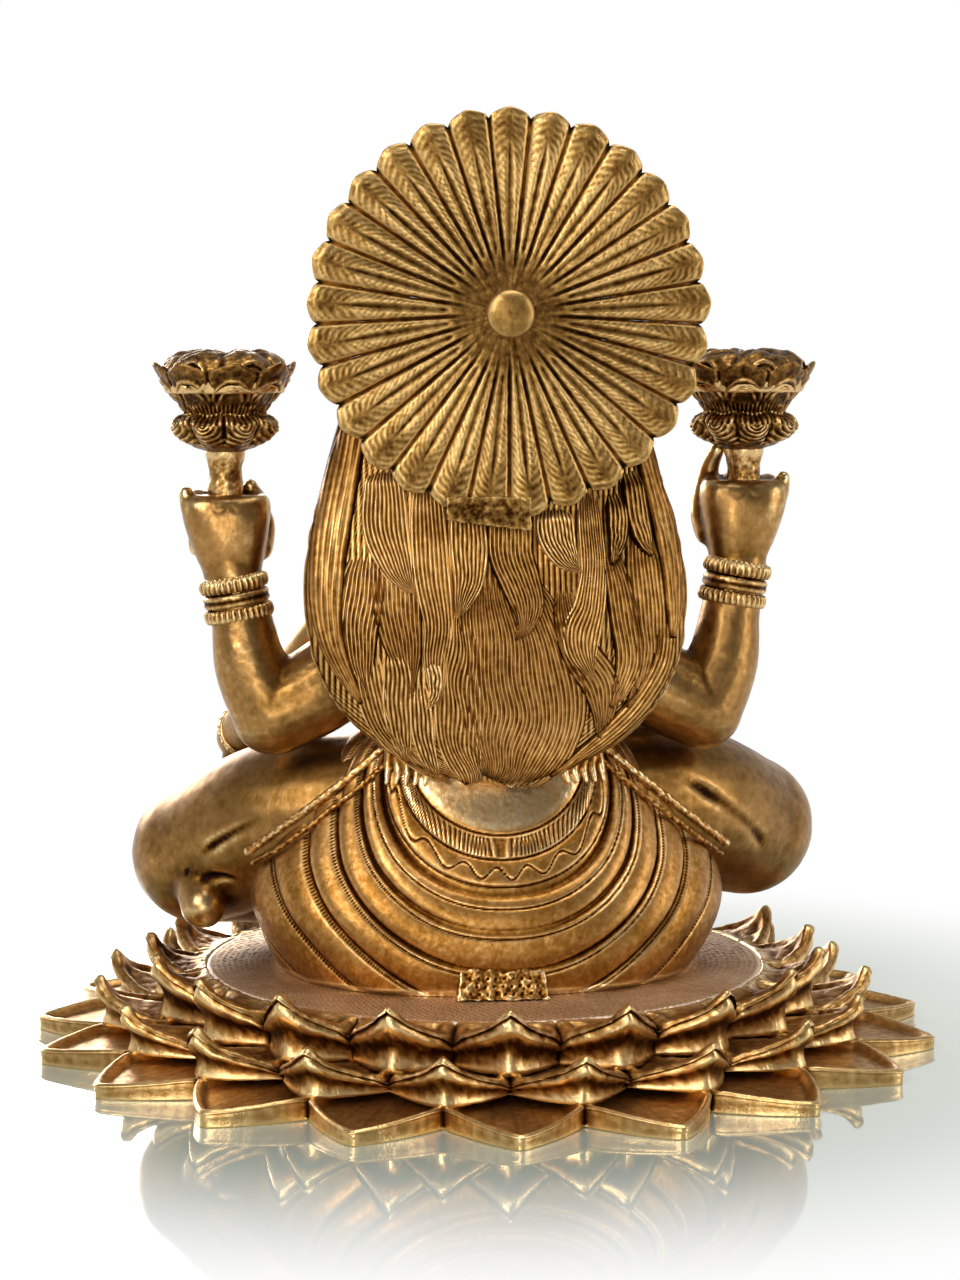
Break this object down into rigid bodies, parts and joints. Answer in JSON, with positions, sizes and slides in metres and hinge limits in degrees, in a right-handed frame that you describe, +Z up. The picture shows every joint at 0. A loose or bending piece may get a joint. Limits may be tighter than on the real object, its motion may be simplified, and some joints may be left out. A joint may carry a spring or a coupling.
{
  "type": "seated deity statue on lotus pedestal",
  "caption": "Cast brass seated four-armed deity on a three-tier lotus pedestal, lotuses in its raised rear hands, with a turning petalled halo behind the head.",
  "frame": {"origin": "centre of the pedestal's underside", "axes": "+Z up, the figure faces -Y, its left hand is on the +X side"},
  "size_m": [0.2022, 0.202, 0.2052],
  "materials": {
    "pedestal_brass": "cast and chased brass with dark patina in the recesses, filed bright on the edge",
    "seat_brass": "cast brass stippled with a punch",
    "drape_brass": "cast brass with chased folds, brushed between them",
    "polished_brass": "filed and buffed brass, satin",
    "hair_brass": "cast brass closely engraved with wavy lines",
    "halo_brass": "matt cast brass with hatched petals",
    "jewel_brass": "chased and burnished brass",
    "stud_brass": "turned brass, satin"
  },
  "bodies": {
    "pedestal": {"base_plate": "pedestal_brass", "middle_petal_ring": "pedestal_brass", "inner_petal_ring": "pedestal_brass", "seat_disc": "seat_brass"},
    "figure": {"hip_drape": "drape_brass", "rear_tab": "drape_brass", "locating_pegs": "stud_brass", "left_leg": "polished_brass", "right_leg": "polished_brass", "left_foot": "polished_brass", "right_foot": "polished_brass", "skirt_pleats": "drape_brass", "torso": "polished_brass", "head": "polished_brass", "hair": "hair_brass", "crown": "jewel_brass", "earrings": "jewel_brass", "necklace": "jewel_brass", "rear_left_arm": "polished_brass", "rear_right_arm": "polished_brass", "front_left_arm": "polished_brass", "front_right_arm": "polished_brass", "left_bangles": "jewel_brass", "right_bangles": "jewel_brass", "left_stem": "jewel_brass", "right_stem": "jewel_brass", "left_calyx": "jewel_brass", "right_calyx": "jewel_brass", "left_bloom": "jewel_brass", "right_bloom": "jewel_brass", "halo_boss": "hair_brass"},
    "halo": {"halo_disc": "halo_brass"},
    "stud": {"halo_stud": "stud_brass"}
  },
  "joints": [
    {"name": "figure_lift", "type": "slide", "parent": "pedestal", "child": "figure", "axis": [0, 0, 1], "range_m": [0, 0.06]},
    {"name": "halo_turn", "type": "hinge", "parent": "figure", "child": "halo", "pos_m": [-0.0022, 0.0301, 0.1617], "axis": [0, 1, 0], "continuous": true},
    {"name": "stud_draw", "type": "slide", "parent": "figure", "child": "stud", "axis": [0, 1, 0], "range_m": [0, 0.012]}
  ]
}
